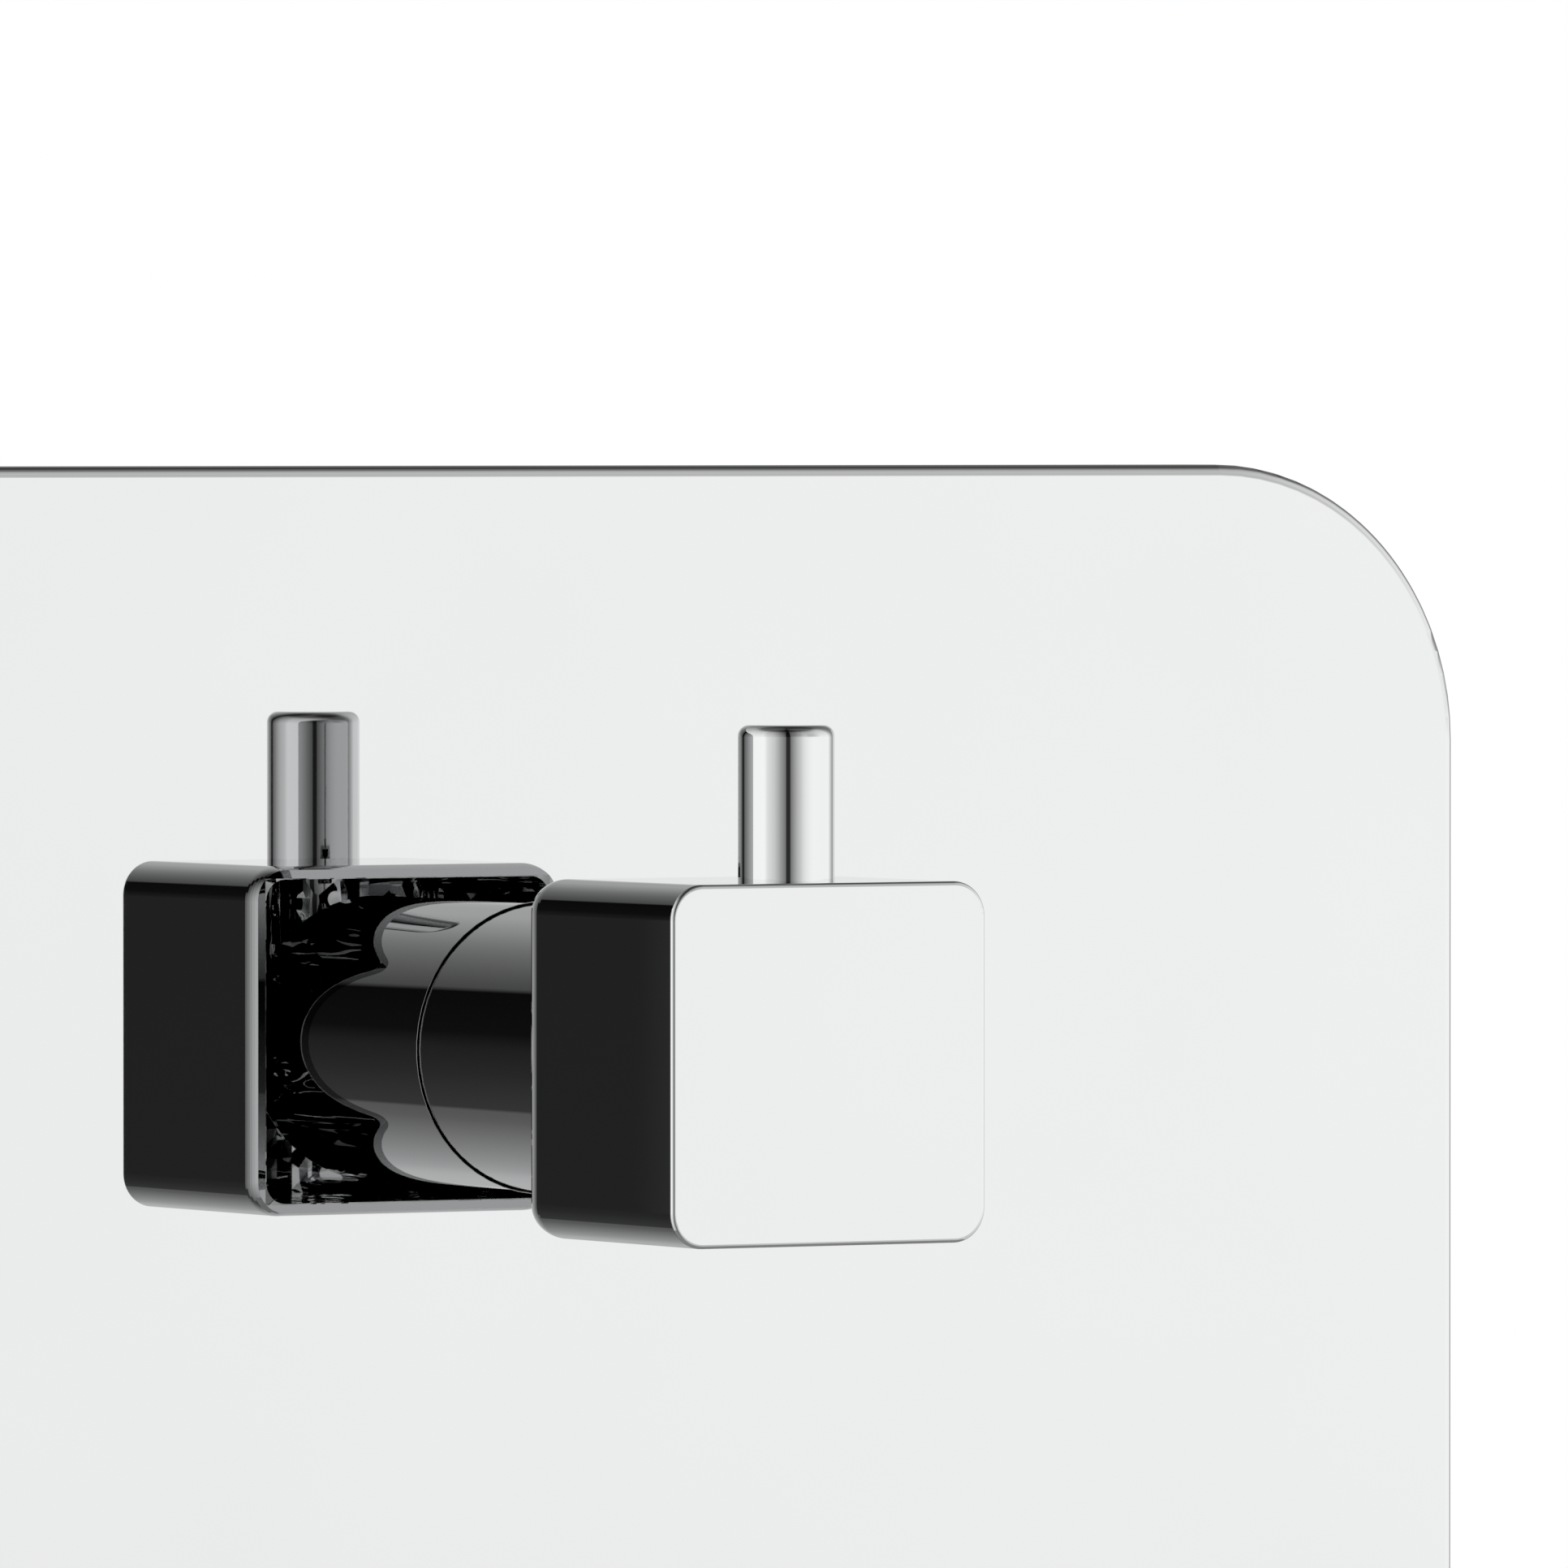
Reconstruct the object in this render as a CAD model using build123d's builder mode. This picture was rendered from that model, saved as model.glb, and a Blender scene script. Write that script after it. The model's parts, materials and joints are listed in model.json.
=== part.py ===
from build123d import *
from math import cos, radians, sin, tan
import os

# Concealed two-way shower diverter: a rounded-square knob with a lever pin stands on a round
# sleeve in front of a polished wall plate, over a brass body and a ceramic cartridge in the wall.
# Frame: origin on the knob's axis at the finished wall, +X right, +Y into the wall, +Z up.
# A height is a distance out of the wall along the axis, so what is in the wall is negative.

# Knob: a thin rounded-square cup, open to the wall
knob_width = 38.0
knob_depth = 30.6
knob_corner = 3.7
knob_wall = 1.4
knob_front_wall = 2.5
knob_front_edge = 0.45
knob_lip_depth = 2.2
knob_lip_turn = 20.0
knob_lip_steps = 5
knob_floor_round = 1.5
knob_standoff = 30.15
boss_radius = 9.0
boss_depth = 26.6
rib_thickness = 2.0
rib_depth = 6.0
post_root = 1.0

# Lever pin on top of the knob
pin_radius = 5.1
pin_length = 16.4
pin_edge = 1.2
pin_from_front = 9.1
pin_thread_radius = 2.5
pin_thread_length = 6.0
stud_end_room = 1.0

# Grub screw that clamps the knob on its splined insert, and the key's way to it
grub_radius = 2.0
grub_length = 3.4
grub_key = 2.0
grub_from_front = 14.0
key_hole_radius = 2.3

# Wall plate: a pressed tray that reaches further below the knob's axis than above it
plate_width = 231.0
plate_above = 62.5
plate_below = 93.5
plate_corner = 30.4
plate_depth = 8.0
plate_sheet = 1.5
plate_edge = 1.2
plate_rim_gap = 0.8
plate_gap = 0.15
plate_hole_edge = 0.12
gasket_width = 5.0
seal_width = 4.0
seal_thickness = 2.0

# Carrier behind the plate, its pillars and screws
stud_radius = 2.0
stud_x = 84.0
stud_z = 54.0
carrier_width = 190.0
carrier_height = 124.0
carrier_corner = 8.0
carrier_sheet = 1.5
carrier_lift = 0.5
carrier_hole_radius = 24.0
window_width = 38.0
window_height = 84.0
window_x = 60.0
grommet_radius = 4.0
grommet_flange = 6.0
grommet_height = 2.0
pillar_x = 26.0
pillar_z = 31.0
pillar_flats = 8.0
screw_radius = 2.0
screw_length = 12.0
screw_head_radius = 3.8
screw_key = 2.5
screw_end_room = 1.0
socket_share = 0.7

# Sleeve and what it slides on
sleeve_radius = 15.5
sleeve_wall = 1.75
sleeve_overlap = 8.0
sleeve_edge = 0.4
guide_wall = 2.6
guide_front = 30.0
guide_skirt_wall = 2.8
guide_skirt_length = 10.0
guide_shoulder_wall = 2.0
guide_land = 4.5
ring_section = 1.0
bush_length = 8.0
bush_flange = 1.5

# Brass body in the wall
body_depth = 68.0
body_flange_width = 92.0
body_flange_height = 84.0
body_flange_corner = 9.0
body_flange = 5.0
body_radius = 22.0
body_neck_radius = 20.0
body_neck_length = 12.0
body_mouth = 16.0
mouth_bevel = 1.0
fixing_x = 38.0
fixing_z = 34.0
fixing_radius = 2.75
fixing_pad_radius = 6.0
fixing_pad = 1.0
root_taper = 8.0
root_length = 7.0
root_sink = 1.0
rib_width = 5.0
rib_reach = 36.0
rib_sink = 2.0
port_height = -53.0
port_reach = 48.0
port_radius = 13.5
port_collar_radius = 15.0
port_collar_length = 16.0
socket_radius = 9.315
socket_depth = 15.0
water_radius = 4.5

# Ceramic cartridge
cartridge_radius = 13.7
cartridge_wall = 2.0
cartridge_base_thickness = 3.0
cartridge_top_wall = 3.0
nose_radius = 8.0
nose_length = 14.0
disc_thickness = 4.0
driver_thickness = 3.0
fork_width = 4.0
fork_depth = 1.6
disc_port_radius = 2.6
disc_port_circle = 8.0
inlet_port_radius = 3.2
base_seal_thickness = 1.0
base_seal_inset = 1.0
turn_limit = 90.0
stop_half_angle = 10.0
stop_depth = 1.4
washer_thickness = 1.0
washer_width = 2.7
nut_head = 6.0
nut_flats = 29.0

# Stem, extension and spline
stem_radius = 5.0
stem_flange = 2.0
stem_flange_width = 2.0
stem_ring_first = 2.0
stem_ring_pitch = 5.0
stem_front = 2.5
spline_radius = 4.0
spline_depth = 0.55
spline_teeth = 20
spline_length = 8.0
clip_radius = 6.6
clip_thickness = 1.0
clip_groove = 0.8
clip_mouth = 6.0
clip_hook = 1.3
spindle_radius = 6.0
spindle_front = 54.5
spindle_floor = 6.0
nose_spline_radius = 5.0
nose_spline_length = 13.0
long_screw_radius = 2.0
long_screw_head = 3.5
long_screw_grip = 12.0
insert_radius = 6.4
insert_floor = 2.0

# Clearances
thread_clearance = 0.1
running_clearance = 0.08
sliding_clearance = 0.25
loose_clearance = 0.3
face_gap = 0.3
stop_play = 1.5

# Heights that follow from the sizes
plate_height = plate_above + plate_below
plate_middle = (plate_above - plate_below) / 2
plate_back = plate_depth - plate_sheet
knob_back = plate_depth + knob_standoff
knob_front = knob_back + knob_depth
knob_floor = knob_front - knob_front_wall
pin_height = knob_front - pin_from_front
grub_height = knob_front - grub_from_front
knob_half = knob_width / 2
cavity_half = knob_half - knob_wall
sleeve_bore = sleeve_radius - sleeve_wall
sleeve_front = knob_back + sleeve_overlap
guide_radius = sleeve_bore - sliding_clearance
guide_bore = guide_radius - guide_wall
body_front = -body_mouth
cartridge_bore = cartridge_radius + loose_clearance
cartridge_cavity = cartridge_radius - cartridge_wall
disc_radius = cartridge_cavity - loose_clearance
nut_radius = body_neck_radius - 4.0
floor_height = port_height + 8.0
base_back = floor_height + base_seal_thickness
base_front = base_back + cartridge_base_thickness
fixed_front = base_front + disc_thickness
moving_back = fixed_front + face_gap
moving_front = moving_back + disc_thickness
driver_front = moving_front + driver_thickness
stem_flange_front = driver_front + stem_flange
washer_back = stem_flange_front + face_gap
cavity_front = washer_back + washer_thickness
nut_seat = cavity_front + cartridge_top_wall
nose_front = nut_seat + nose_length
spline_front = nose_front + stem_front + spline_length
nut_front = body_front + nut_head
guide_shoulder = nut_front + loose_clearance + guide_shoulder_wall
plate_hole_radius = sleeve_radius + plate_gap
carrier_front = carrier_lift + carrier_sheet
root_step = root_length * tan(radians(root_taper))
stem_bore = stem_radius + running_clearance

wall = Plane.XZ
plate_plane = Plane(origin=(0, 0, plate_middle), x_dir=(1, 0, 0), z_dir=(0, -1, 0))
axial = Plane(origin=(0, 0, 0), x_dir=(1, 0, 0), z_dir=(0, 0, -1))


def tube_profile(inner, outer, back, front):
    """A rectangle in the axial plane, from an inner to an outer radius and between two heights."""
    with Locations((inner, back)):
        Rectangle(outer - inner, front - back, align=(Align.MIN, Align.MIN))


def spline_outline(radius, extra=0.0):
    """A splined shaft's section, grown by extra for the bore that takes it."""
    step = 360 / spline_teeth
    points = []
    for tooth in range(spline_teeth):
        for share, reach in ((-0.28, radius), (0.0, radius), (0.28, radius), (0.5, radius - spline_depth)):
            turn = radians((tooth + share) * step)
            points.append(((reach + extra) * cos(turn), (reach + extra) * sin(turn)))
    Polygon(*points, align=None)


def ring_section_at(radius, height, section):
    """A round seal's section in the axial plane."""
    with Locations((radius, height)):
        Circle(section)


def disc_ports(radius):
    """The two outlet ports of the disc pair, left and right of the inlet."""
    with GridLocations(2 * disc_port_circle, 1, 2, 1):
        Circle(radius)


def save(part, name):
    """Labels a finished piece and writes it to its own file."""
    part.label = name
    export_step(part, f"parts/{name}.step")


os.makedirs("parts", exist_ok=True)

# Wall plate with four welded studs on its back
with BuildPart() as trim_plate:
    with BuildSketch(plate_plane.offset(plate_rim_gap)):
        RectangleRounded(plate_width, plate_height, plate_corner)
    extrude(amount=plate_depth - plate_rim_gap)
    fillet(trim_plate.faces().sort_by(Axis.Y)[0].edges(), plate_edge)
    with BuildSketch(plate_plane.offset(plate_rim_gap)):
        RectangleRounded(
            plate_width - 2 * plate_sheet, plate_height - 2 * plate_sheet, plate_corner - plate_sheet
        )
    extrude(amount=plate_back - plate_rim_gap, mode=Mode.SUBTRACT)
    with BuildSketch(wall.offset(plate_depth)):
        Circle(plate_hole_radius)
    extrude(amount=-plate_sheet, mode=Mode.SUBTRACT)
    front = trim_plate.faces().sort_by(Axis.Y)[0]
    fillet(front.inner_wires()[0].edges(), plate_hole_edge)
    with BuildSketch(plate_plane.offset(plate_back)):
        with GridLocations(2 * stud_x, 2 * stud_z, 2, 2):
            Circle(stud_radius)
    extrude(amount=-(plate_back - loose_clearance))
save(trim_plate.part, "trim_plate")

# Foam strip inside the plate's rim, which seals it to the wall
strip_width = plate_width - 2 * (plate_sheet + loose_clearance)
strip_height = plate_height - 2 * (plate_sheet + loose_clearance)
strip_corner = plate_corner - plate_sheet - loose_clearance
with BuildPart() as plate_gasket:
    with BuildSketch(plate_plane):
        RectangleRounded(strip_width, strip_height, strip_corner)
        RectangleRounded(
            strip_width - 2 * gasket_width,
            strip_height - 2 * gasket_width,
            strip_corner - gasket_width,
            mode=Mode.SUBTRACT,
        )
    extrude(amount=plate_back)
save(plate_gasket.part, "plate_gasket")

# Rubber ring behind the plate's hole, seen as the dark line round the sleeve
with BuildPart() as plate_seal:
    with BuildSketch(axial):
        tube_profile(
            sleeve_radius + running_clearance,
            plate_hole_radius + seal_width,
            plate_back - seal_thickness,
            plate_back,
        )
    revolve(axis=Axis.Y)
save(plate_seal.part, "plate_seal")

# Sheet steel carrier on the wall face, with two windows and countersunk screw holes
with BuildPart() as plate_carrier:
    with BuildSketch(plate_plane.offset(carrier_lift)):
        RectangleRounded(carrier_width, carrier_height, carrier_corner)
        with GridLocations(2 * window_x, 1, 2, 1):
            RectangleRounded(window_width, window_height, carrier_corner, mode=Mode.SUBTRACT)
        with GridLocations(2 * stud_x, 2 * stud_z, 2, 2):
            Circle(grommet_radius, mode=Mode.SUBTRACT)
    extrude(amount=carrier_sheet)
    with BuildSketch(wall.offset(carrier_lift)):
        Circle(carrier_hole_radius)
        with GridLocations(2 * pillar_x, 2 * pillar_z, 2, 2):
            Circle(screw_radius + thread_clearance)
    extrude(amount=carrier_sheet, mode=Mode.SUBTRACT)
save(plate_carrier.part, "plate_carrier")

# Rubber grommets that grip the plate's studs
with BuildPart() as stud_grommets:
    with BuildSketch(plate_plane.offset(carrier_lift)):
        with GridLocations(2 * stud_x, 2 * stud_z, 2, 2):
            Circle(grommet_radius - thread_clearance)
    extrude(amount=carrier_sheet)
    with BuildSketch(plate_plane.offset(carrier_front)):
        with GridLocations(2 * stud_x, 2 * stud_z, 2, 2):
            Circle(grommet_flange)
    extrude(amount=grommet_height)
    with BuildSketch(plate_plane):
        with GridLocations(2 * stud_x, 2 * stud_z, 2, 2):
            Circle(stud_radius + thread_clearance)
    extrude(amount=carrier_front + grommet_height, mode=Mode.SUBTRACT)
save(stud_grommets.part, "stud_grommets")

# Hexagonal pillars from the body's flange to the carrier
pillar_back = -body_depth + body_flange
with BuildPart() as carrier_pillars:
    with BuildSketch(wall.offset(pillar_back)):
        with GridLocations(2 * pillar_x, 2 * pillar_z, 2, 2):
            RegularPolygon(pillar_flats / 2, 6, major_radius=False)
    extrude(amount=carrier_lift - pillar_back)
    with BuildSketch(wall.offset(pillar_back)):
        with GridLocations(2 * pillar_x, 2 * pillar_z, 2, 2):
            Circle(screw_radius)
    extrude(amount=-body_flange)
    with BuildSketch(wall.offset(carrier_lift)):
        with GridLocations(2 * pillar_x, 2 * pillar_z, 2, 2):
            Circle(screw_radius + thread_clearance)
    extrude(amount=-screw_length, mode=Mode.SUBTRACT)
save(carrier_pillars.part, "carrier_pillars")

# Button-head screws through the carrier into the pillars
screw_head_height = screw_head_radius / 2
with BuildPart() as carrier_screws:
    with BuildSketch(wall.offset(carrier_front)):
        with GridLocations(2 * pillar_x, 2 * pillar_z, 2, 2):
            Circle(screw_head_radius)
    extrude(amount=screw_head_height)
    fillet(carrier_screws.faces().filter_by(Axis.Y).group_by(Axis.Y)[0].edges(), screw_head_height / 2)
    with BuildSketch(wall.offset(carrier_front)):
        with GridLocations(2 * pillar_x, 2 * pillar_z, 2, 2):
            Circle(screw_radius)
    extrude(amount=-(screw_length - screw_end_room))
    with BuildSketch(wall.offset(carrier_front + screw_head_height)):
        with GridLocations(2 * pillar_x, 2 * pillar_z, 2, 2):
            RegularPolygon(screw_key / 2, 6, major_radius=False)
    extrude(amount=-screw_head_height * socket_share, mode=Mode.SUBTRACT)
save(carrier_screws.part, "carrier_screws")

# Brass body: flange, round core and three threaded ports joined to the cartridge seat
port_directions = ((1, 0, 0), (-1, 0, 0), (0, 0, -1))
with BuildPart() as valve_body:
    with BuildSketch(wall.offset(-body_depth)):
        RectangleRounded(body_flange_width, body_flange_height, body_flange_corner)
    extrude(amount=body_flange)
    with BuildSketch(wall.offset(-body_depth)):
        Circle(body_radius)
    extrude(amount=body_depth - body_mouth - body_neck_length)
    with BuildSketch(wall.offset(-body_mouth - body_neck_length)):
        Circle(body_neck_radius)
    extrude(amount=body_neck_length)
    with BuildSketch(wall.offset(-body_depth + body_flange)):
        with GridLocations(2 * fixing_x, 2 * fixing_z, 2, 2):
            Circle(fixing_pad_radius)
    extrude(amount=fixing_pad)
    with BuildSketch(Plane.YZ.offset(-rib_width / 2)):
        with BuildLine():
            Polyline(
                (body_depth - body_flange, body_radius - rib_sink),
                (body_depth - body_flange, rib_reach),
                (body_mouth + body_neck_length + rib_sink, body_radius - rib_sink),
                close=True,
            )
        make_face()
    extrude(amount=rib_width)
    for toward in port_directions:
        port_axis = Plane(origin=(0, -port_height, 0), x_dir=(0, 1, 0), z_dir=toward)
        with BuildSketch(port_axis):
            Circle(port_radius)
        extrude(amount=port_reach)
        with BuildSketch(port_axis.offset(body_radius - root_sink)):
            Circle(port_radius + root_step)
        extrude(amount=root_length, taper=root_taper)
        with BuildSketch(port_axis.offset(port_reach - port_collar_length)):
            RegularPolygon(port_collar_radius, 8, major_radius=False, rotation=22.5)
        extrude(amount=port_collar_length)
    chamfer(
        valve_body.faces().sort_by(Axis.Y)[0].edges().filter_by(GeomType.CIRCLE).sort_by(SortBy.LENGTH)[-1],
        mouth_bevel,
    )
    for toward in port_directions:
        mouth = Plane(origin=(0, -port_height, 0), x_dir=(0, 1, 0), z_dir=toward).offset(port_reach)
        with BuildSketch(mouth):
            Circle(socket_radius)
        extrude(amount=-socket_depth, mode=Mode.SUBTRACT)
        run_end = 0.0 if toward[2] else disc_port_circle
        with BuildSketch(mouth):
            Circle(water_radius)
        extrude(amount=-(port_reach - run_end), mode=Mode.SUBTRACT)
    with BuildSketch(wall.offset(body_front)):
        Circle(nut_radius)
    extrude(amount=nut_seat - body_front, mode=Mode.SUBTRACT)
    with BuildSketch(wall.offset(nut_seat)):
        Circle(cartridge_bore)
    extrude(amount=floor_height - nut_seat, mode=Mode.SUBTRACT)
    with BuildSketch(wall.offset(floor_height)):
        disc_ports(disc_port_radius)
    extrude(amount=port_height + water_radius / 2 - floor_height, mode=Mode.SUBTRACT)
    with BuildSketch(wall.offset(floor_height)):
        Circle(inlet_port_radius)
    extrude(amount=port_height - floor_height, mode=Mode.SUBTRACT)
    with BuildSketch(wall.offset(-body_depth)):
        with GridLocations(2 * fixing_x, 2 * fixing_z, 2, 2):
            Circle(fixing_radius)
        with GridLocations(2 * pillar_x, 2 * pillar_z, 2, 2):
            Circle(screw_radius + thread_clearance)
    extrude(amount=body_flange, mode=Mode.SUBTRACT)
save(valve_body.part, "valve_body")

# Rubber seal under the cartridge, with its three ports
with BuildPart() as base_seal:
    with BuildSketch(wall.offset(floor_height)):
        Circle(cartridge_radius - base_seal_inset)
        with GridLocations(2 * disc_port_circle, 1, 2, 1):
            Circle(disc_port_radius, mode=Mode.SUBTRACT)
        Circle(inlet_port_radius, mode=Mode.SUBTRACT)
    extrude(amount=base_seal_thickness)
save(base_seal.part, "base_seal")

# Plastic base of the cartridge, with a groove for its seal
base_ring_section = ring_section - thread_clearance
base_ring_radius = cartridge_bore - base_ring_section
base_ring_height = base_back + cartridge_base_thickness / 2
with BuildPart() as cartridge_base:
    with BuildSketch(wall.offset(base_back)):
        Circle(cartridge_radius)
        with GridLocations(2 * disc_port_circle, 1, 2, 1):
            Circle(disc_port_radius, mode=Mode.SUBTRACT)
        Circle(inlet_port_radius, mode=Mode.SUBTRACT)
    extrude(amount=cartridge_base_thickness)
    with BuildSketch(axial):
        ring_section_at(base_ring_radius, base_ring_height, ring_section)
    revolve(axis=Axis.Y, mode=Mode.SUBTRACT)
save(cartridge_base.part, "cartridge_base")

# Round seal in the base's groove
with BuildPart() as base_o_ring:
    with BuildSketch(axial):
        ring_section_at(base_ring_radius, base_ring_height, base_ring_section)
    revolve(axis=Axis.Y)
save(base_o_ring.part, "base_o_ring")

# Fixed ceramic disc: the inlet in the middle, an outlet each side
with BuildPart() as fixed_disc:
    with BuildSketch(wall.offset(base_front)):
        Circle(disc_radius)
        with GridLocations(2 * disc_port_circle, 1, 2, 1):
            Circle(disc_port_radius, mode=Mode.SUBTRACT)
        Circle(inlet_port_radius, mode=Mode.SUBTRACT)
    extrude(amount=disc_thickness)
save(fixed_disc.part, "fixed_disc")

# Moving ceramic disc: a blind channel from the middle towards the lever
with BuildPart() as moving_disc:
    with BuildSketch(wall.offset(moving_back)):
        Circle(disc_radius)
    extrude(amount=disc_thickness)
    with BuildSketch(wall.offset(moving_back)):
        with Locations((0, disc_port_circle / 2)):
            SlotOverall(disc_port_circle + 2 * disc_port_radius, 2 * disc_port_radius, rotation=90)
        Circle(inlet_port_radius)
    extrude(amount=disc_thickness / 2, mode=Mode.SUBTRACT)
    with BuildSketch(wall.offset(moving_front)):
        Rectangle(2 * disc_radius, fork_width)
    extrude(amount=-fork_depth, mode=Mode.SUBTRACT)
save(moving_disc.part, "moving_disc")

# Plastic driver: its key turns the moving disc, its slot takes the stem
with BuildPart() as disc_driver:
    with BuildSketch(wall.offset(moving_front)):
        Circle(disc_radius)
    extrude(amount=driver_thickness)
    with BuildSketch(wall.offset(moving_front)):
        Rectangle(2 * (disc_radius - loose_clearance), fork_width - 2 * thread_clearance)
    extrude(amount=-(fork_depth - thread_clearance))
    with BuildSketch(wall.offset(driver_front)):
        Rectangle(fork_width, 2 * stem_radius)
    extrude(amount=-fork_depth, mode=Mode.SUBTRACT)
save(disc_driver.part, "disc_driver")

# Cartridge housing: a cup with a nose, and a stop that the stem's flange meets at each end
stop_outer = cartridge_cavity + cartridge_wall / 4
with BuildPart() as cartridge_housing:
    with BuildSketch(axial):
        with BuildLine():
            Polyline(
                (cartridge_cavity, base_front),
                (cartridge_radius, base_front),
                (cartridge_radius, nut_seat),
                (nose_radius, nut_seat),
                (nose_radius, nose_front),
                (stem_bore, nose_front),
                (stem_bore, cavity_front),
                (cartridge_cavity, cavity_front),
                close=True,
            )
        make_face()
    revolve(axis=Axis.Y)
    with BuildSketch(wall.offset(driver_front + thread_clearance)):
        with BuildLine():
            edge_left = PolarLine((0, 0), stop_outer, -90 - stop_half_angle)
            edge_right = PolarLine((0, 0), stop_outer, -90 + stop_half_angle)
            Line(edge_left @ 1, edge_right @ 1)
        make_face()
        Circle(cartridge_cavity - stop_depth, mode=Mode.SUBTRACT)
    extrude(amount=cavity_front - driver_front - thread_clearance)
save(cartridge_housing.part, "cartridge_housing")

# Stem: a stop sector, two seal grooves, a clip groove and a spline
sector_half = 180 - turn_limit - stop_half_angle - stop_play
sector_radius = cartridge_cavity - loose_clearance
first_groove = nut_seat + stem_ring_first
groove_heights = (first_groove, first_groove + stem_ring_pitch)
clip_height = nose_front + face_gap
stem_ring_section = ring_section - thread_clearance
stem_ring_radius = stem_bore - stem_ring_section - thread_clearance / 2
with BuildPart() as stem:
    with BuildSketch(wall.offset(driver_front)):
        with BuildLine():
            CenterArc((0, 0), sector_radius, 90 - sector_half, 2 * sector_half)
            Line((0, 0), (sector_radius * sin(radians(sector_half)), sector_radius * cos(radians(sector_half))))
            Line((0, 0), (-sector_radius * sin(radians(sector_half)), sector_radius * cos(radians(sector_half))))
        make_face()
        Circle(stem_radius + stem_flange_width)
    extrude(amount=stem_flange)
    with BuildSketch(wall.offset(stem_flange_front)):
        Circle(stem_radius)
    extrude(amount=nose_front + stem_front - stem_flange_front)
    with BuildSketch(wall.offset(driver_front)):
        Rectangle(fork_width - 2 * thread_clearance, 2 * stem_radius - 2 * loose_clearance)
    extrude(amount=-(fork_depth - thread_clearance))
    with BuildSketch(wall.offset(nose_front + stem_front)):
        spline_outline(spline_radius)
    extrude(amount=spline_length)
    with BuildSketch(axial):
        for height in groove_heights:
            ring_section_at(stem_ring_radius, height, ring_section)
        tube_profile(stem_radius - clip_groove, clip_radius, clip_height, clip_height + clip_thickness)
    revolve(axis=Axis.Y, mode=Mode.SUBTRACT)
    with BuildSketch(wall.offset(spline_front)):
        Circle(long_screw_radius + thread_clearance)
    extrude(amount=-long_screw_grip, mode=Mode.SUBTRACT)
save(stem.part, "stem")

# Two round seals in the stem's grooves
with BuildPart() as stem_o_rings:
    with BuildSketch(axial):
        for height in groove_heights:
            ring_section_at(stem_ring_radius, height, stem_ring_section)
    revolve(axis=Axis.Y)
save(stem_o_rings.part, "stem_o_rings")

# Slippery washer between the stem's flange and the housing
washer_bore = stem_radius + loose_clearance
with BuildPart() as thrust_washer:
    with BuildSketch(axial):
        tube_profile(washer_bore, washer_bore + washer_width, cavity_front - washer_thickness, cavity_front)
    revolve(axis=Axis.Y)
save(thrust_washer.part, "thrust_washer")

# Spring clip in the stem's groove
with BuildPart() as stem_clip:
    with BuildSketch(wall.offset(clip_height + thread_clearance / 2)):
        Circle(clip_radius)
        Circle(stem_radius - clip_groove + thread_clearance, mode=Mode.SUBTRACT)
        with Locations((0, -clip_radius)):
            Rectangle(clip_mouth, 2 * (clip_radius - clip_hook), mode=Mode.SUBTRACT)
    extrude(amount=clip_thickness - thread_clearance)
save(stem_clip.part, "stem_clip")

# Nut that holds the cartridge in the body
with BuildPart() as retaining_nut:
    with BuildSketch(wall.offset(nut_seat)):
        Circle(nut_radius - thread_clearance)
    extrude(amount=body_front - nut_seat)
    with BuildSketch(wall.offset(body_front)):
        RegularPolygon(nut_flats / 2, 6, major_radius=False)
    extrude(amount=nut_head)
    with BuildSketch(wall.offset(nut_front)):
        Circle(nose_radius + loose_clearance)
    extrude(amount=nut_seat - nut_front, mode=Mode.SUBTRACT)
save(retaining_nut.part, "retaining_nut")

# Guide: screwed over the body's neck, it carries the sleeve on two round seals
skirt_bore = body_neck_radius + thread_clearance
skirt_radius = skirt_bore + guide_skirt_wall
skirt_back = body_front - guide_skirt_length
guide_grooves = (plate_back + guide_land, guide_front - guide_land)
guide_ring_section = ring_section - thread_clearance
guide_ring_radius = sleeve_bore - guide_ring_section
with BuildPart() as sleeve_guide:
    with BuildSketch(axial):
        with BuildLine():
            Polyline(
                (skirt_bore, skirt_back),
                (skirt_radius, skirt_back),
                (skirt_radius, guide_shoulder - guide_shoulder_wall),
                (skirt_radius - guide_shoulder_wall, guide_shoulder),
                (guide_radius, guide_shoulder),
                (guide_radius, guide_front),
                (guide_bore, guide_front),
                (guide_bore, guide_shoulder - guide_shoulder_wall),
                (skirt_bore, guide_shoulder - guide_shoulder_wall),
                close=True,
            )
        make_face()
        for height in guide_grooves:
            with Locations((guide_ring_radius, height)):
                Circle(ring_section, mode=Mode.SUBTRACT)
    revolve(axis=Axis.Y)
save(sleeve_guide.part, "sleeve_guide")

# Two round seals that grip the sleeve
with BuildPart() as guide_o_rings:
    with BuildSketch(axial):
        for height in guide_grooves:
            ring_section_at(guide_ring_radius, height, guide_ring_section)
    revolve(axis=Axis.Y)
save(guide_o_rings.part, "guide_o_rings")

# Polished sleeve between the wall plate and the knob
sleeve_back = guide_shoulder + loose_clearance
with BuildPart() as sleeve:
    with BuildSketch(axial):
        tube_profile(sleeve_bore, sleeve_radius, sleeve_back, sleeve_front)
    revolve(axis=Axis.Y)
    fillet(sleeve.edges().filter_by(GeomType.CIRCLE).group_by(Axis.Y)[0], sleeve_edge)
save(sleeve.part, "sleeve")

# Plastic bush that centres the extension spindle in the guide
bush_flange_radius = guide_radius - loose_clearance
with BuildPart() as spindle_bush:
    with BuildSketch(axial):
        tube_profile(
            spindle_radius + running_clearance,
            guide_bore - running_clearance,
            guide_front - bush_length,
            guide_front,
        )
        tube_profile(
            spindle_radius + running_clearance, bush_flange_radius, guide_front, guide_front + bush_flange
        )
    revolve(axis=Axis.Y)
save(spindle_bush.part, "spindle_bush")

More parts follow.
